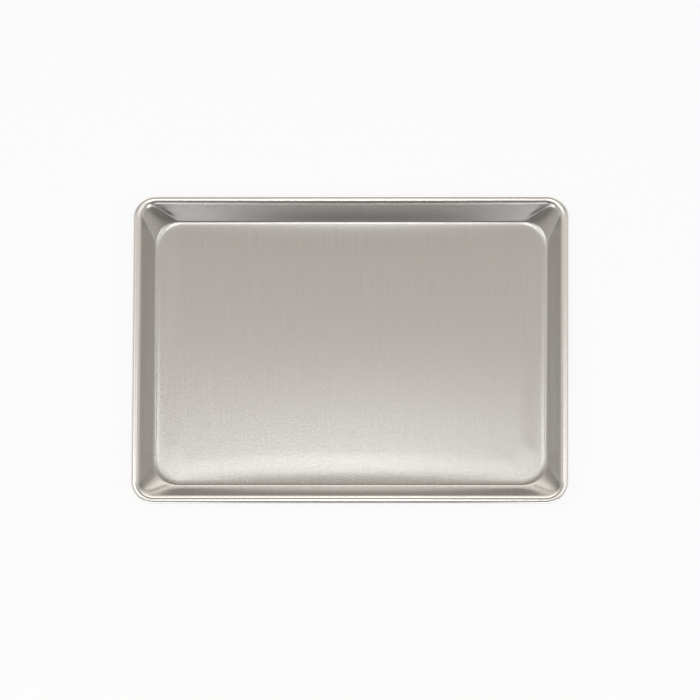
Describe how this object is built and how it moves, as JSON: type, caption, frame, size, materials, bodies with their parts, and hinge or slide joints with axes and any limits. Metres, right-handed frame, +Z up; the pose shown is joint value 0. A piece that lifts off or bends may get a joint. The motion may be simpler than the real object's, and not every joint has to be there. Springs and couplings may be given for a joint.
{
  "type": "sheet pan",
  "caption": "Shallow rectangular aluminium baking pan with a flat floor, sloping walls, round corners and a rim rolled over a stiffening wire; holds food in an oven or on a rack.",
  "frame": {"origin": "middle of the underside of the floor, on the surface that the pan stands on", "axes": "+X along the long sides, +Y along the short sides, +Z up out of the pan's mouth"},
  "size_m": [0.454, 0.327, 0.0254],
  "materials": {
    "aluminium_sheet": "bare satin mill finish, brighter on the rolled rim",
    "galvanised_wire": "dull galvanised"
  },
  "bodies": {
    "root": {"pan_body": "aluminium_sheet", "rim_wire": "galvanised_wire"}
  },
  "joints": []
}
